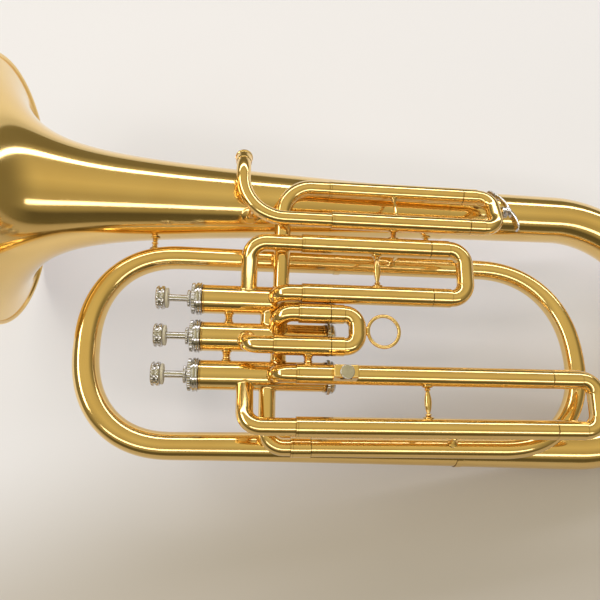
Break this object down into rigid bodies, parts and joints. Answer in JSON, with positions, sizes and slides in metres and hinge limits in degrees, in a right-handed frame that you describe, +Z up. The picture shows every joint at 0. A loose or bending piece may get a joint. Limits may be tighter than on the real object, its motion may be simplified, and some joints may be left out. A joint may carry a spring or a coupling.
{
  "type": "alto horn",
  "caption": "Brass alto horn with piston valves, wrapped conical tubing, pull-out tuning slides, a water key and a flared bell, lying on its side.",
  "frame": {"origin": "middle of the bounding box's underside, on the surface that the horn lies on", "axes": "+Z up; +X along the horn from the bell's mouth to the bottom bow; +Y from the valves to the bell"},
  "size_m": [0.5636, 0.3038, 0.2017],
  "materials": {
    "lacquered_brass": "polished, clear lacquer",
    "nickel": "polished nickel plate",
    "felt": "cream felt",
    "cork": "plain cork"
  },
  "bodies": {
    "horn": {"bell": "lacquered_brass", "bottom_bow": "lacquered_brass", "large_branch": "lacquered_brass", "small_branch": "lacquered_brass", "valve_exit_pipe": "lacquered_brass", "leadpipe": "lacquered_brass", "mouthpiece_receiver": "lacquered_brass", "leadpipe_post": "lacquered_brass", "valve_entry_pipe": "lacquered_brass", "valve_casing_1": "lacquered_brass", "valve_casing_2": "lacquered_brass", "valve_casing_3": "lacquered_brass", "top_cap_1": "nickel", "top_cap_2": "nickel", "top_cap_3": "nickel", "bottom_cap_1": "nickel", "bottom_cap_2": "nickel", "bottom_cap_3": "nickel", "valve_link_1_2": "lacquered_brass", "valve_link_2_3": "lacquered_brass", "slide_1_upper_pipe": "lacquered_brass", "slide_1_lower_pipe": "lacquered_brass", "slide_2_upper_pipe": "lacquered_brass", "slide_2_lower_pipe": "lacquered_brass", "slide_3_upper_pipe": "lacquered_brass", "slide_3_lower_pipe": "lacquered_brass", "brace_valves_1_2": "lacquered_brass", "brace_valves_2_3": "lacquered_brass", "brace_slides_2_3": "lacquered_brass", "brace_slide_1": "lacquered_brass", "brace_slide_3": "lacquered_brass", "brace_main_slide": "lacquered_brass", "brace_main_to_slide_1": "lacquered_brass", "brace_slide_1_to_loop": "lacquered_brass", "brace_slide_3_to_loop": "lacquered_brass", "brace_bell_to_loop": "lacquered_brass", "brace_bell_to_bow": "lacquered_brass", "lyre_socket": "lacquered_brass"},
    "piston_1": {"piston_1": "nickel", "finger_button_1": "nickel", "button_felt_1": "felt"},
    "piston_2": {"piston_2": "nickel", "finger_button_2": "nickel", "button_felt_2": "felt"},
    "piston_3": {"piston_3": "nickel", "finger_button_3": "nickel", "button_felt_3": "felt"},
    "main_slide": {"main_slide_crook": "lacquered_brass", "water_key_nipple": "nickel", "water_key_saddle": "nickel", "water_key_pin": "nickel"},
    "water_key": {"water_key_lever": "nickel", "water_key_cork": "cork"},
    "slide_1": {"slide_1_crook": "lacquered_brass"},
    "slide_2": {"slide_2_crook": "lacquered_brass", "slide_2_pull_ring": "lacquered_brass"},
    "slide_3": {"slide_3_crook": "lacquered_brass"},
    "lyre_screw": {"lyre_screw": "nickel"}
  },
  "joints": [
    {"name": "piston_1_press", "type": "slide", "parent": "horn", "child": "piston_1", "axis": [0.9919, 0, -0.1269], "range_m": [0, 0.0133], "stiffness_N_per_m": 120, "springref_m": -0.018},
    {"name": "piston_2_press", "type": "slide", "parent": "horn", "child": "piston_2", "axis": [0.9919, 0, -0.1269], "range_m": [0, 0.0133], "stiffness_N_per_m": 120, "springref_m": -0.018},
    {"name": "piston_3_press", "type": "slide", "parent": "horn", "child": "piston_3", "axis": [0.9919, 0, -0.1269], "range_m": [0, 0.0133], "stiffness_N_per_m": 120, "springref_m": -0.018},
    {"name": "main_slide_pull", "type": "slide", "parent": "horn", "child": "main_slide", "axis": [0.9919, 0, -0.1269], "range_m": [0, 0.07]},
    {"name": "slide_1_pull", "type": "slide", "parent": "horn", "child": "slide_1", "axis": [0.9919, 0, -0.1269], "range_m": [0, 0.065]},
    {"name": "slide_2_pull", "type": "slide", "parent": "horn", "child": "slide_2", "axis": [0.9919, 0, -0.1269], "range_m": [0, 0.009]},
    {"name": "slide_3_pull", "type": "slide", "parent": "horn", "child": "slide_3", "axis": [0.9919, 0, -0.1269], "range_m": [0, 0.14]},
    {"name": "water_key_press", "type": "hinge", "parent": "main_slide", "child": "water_key", "pos_m": [0.11991, 0.03372, 0.08859], "axis": [-0.1241, -0.207, -0.9704], "range_deg": [0, 12], "stiffness_Nm_per_rad": 0.05, "springref_deg": -14.32},
    {"name": "lyre_screw_turn", "type": "hinge", "parent": "horn", "child": "lyre_screw", "pos_m": [-0.00814, -0.09544, 0.10584], "axis": [0.1259, -0.1253, 0.9841], "continuous": true}
  ]
}
